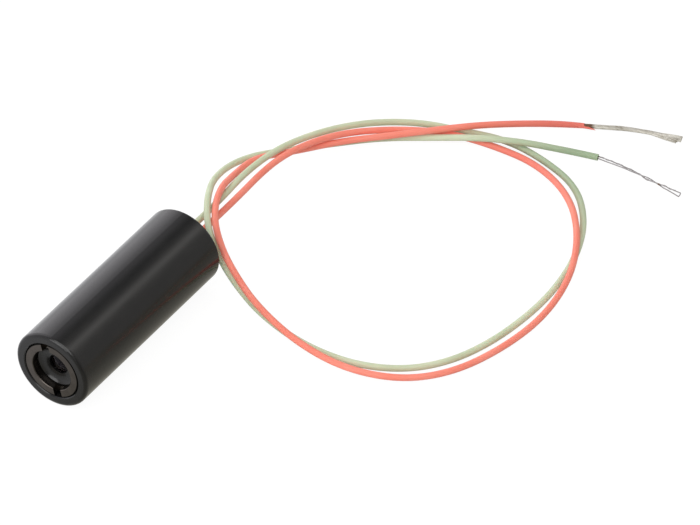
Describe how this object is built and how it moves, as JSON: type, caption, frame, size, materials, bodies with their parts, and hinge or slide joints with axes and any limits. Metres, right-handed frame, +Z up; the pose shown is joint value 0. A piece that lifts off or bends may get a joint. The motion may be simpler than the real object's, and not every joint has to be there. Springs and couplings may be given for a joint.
{
  "type": "laser diode module",
  "caption": "Small cylindrical laser diode module with a slotted focus ring at one end and two thin leads looped out of the other.",
  "frame": {"origin": "middle of the barrel's underside, on the surface that it lies on", "axes": "+Y along the barrel from the lens end to the end that the leads leave, +Z up"},
  "size_m": [0.0481, 0.0846, 0.0105],
  "materials": {
    "black_anodised": "glossy black anodised aluminium",
    "ring_metal": "satin black anodised, lightly worn",
    "cell_plastic": "glossy black moulded plastic",
    "lens_plastic": "clear optical plastic",
    "spring_steel": "bright spring steel",
    "gold_plate": "gold plated steel",
    "seal_glass": "dark sealing glass",
    "silicon": "metallised silicon",
    "laser_crystal": "gold topped crystal",
    "nickel_plate": "nickel plated steel",
    "window_glass": "clear glass",
    "clamp_brass": "turned brass",
    "board_laminate": "green solder mask",
    "mould_compound": "black moulding compound",
    "trimmer_body": "cream ceramic with a metal rotor",
    "capacitor_ceramic": "brown ceramic",
    "resistor_black": "black glazed ceramic",
    "solder": "bright solder",
    "plug_black": "black sealing compound",
    "green_insulation": "pale green soft insulation",
    "tinned_copper": "tinned copper strands",
    "red_insulation": "salmon red soft insulation"
  },
  "bodies": {
    "barrel": {"housing": "black_anodised", "focus_spring": "spring_steel", "diode_header": "gold_plate", "pin_seals": "seal_glass", "diode_pins": "gold_plate", "chip_submount": "silicon", "laser_chip": "laser_crystal", "monitor_photodiode": "silicon", "diode_cap": "nickel_plate", "diode_window": "window_glass", "clamp_ring": "clamp_brass", "driver_board": "board_laminate", "driver_chip": "mould_compound", "drive_transistor": "mould_compound", "power_trimmer": "trimmer_body", "capacitors": "capacitor_ceramic", "resistors": "resistor_black", "solder_joints": "solder", "rear_plug": "plug_black", "green_lead": "green_insulation", "green_tinned_end": "tinned_copper", "red_lead": "red_insulation", "red_tinned_end": "tinned_copper"},
    "lens_carrier": {"lens_cell": "cell_plastic", "collimating_lens": "lens_plastic"},
    "ring": {"focus_ring": "ring_metal"}
  },
  "joints": [
    {"name": "focus_travel", "type": "slide", "parent": "barrel", "child": "lens_carrier", "axis": [0, 1, 0], "range_m": [0, 0.000875], "deforming": ["focus_spring"]},
    {"name": "focus_turn", "type": "hinge", "parent": "lens_carrier", "child": "ring", "pos_m": [0, -0.014, 0.00525], "axis": [0, 1, 0], "range_deg": [0, 630]}
  ],
  "couplings": [
    {"joint": "focus_turn", "follows": "focus_travel", "rad_per_m": 12566}
  ]
}
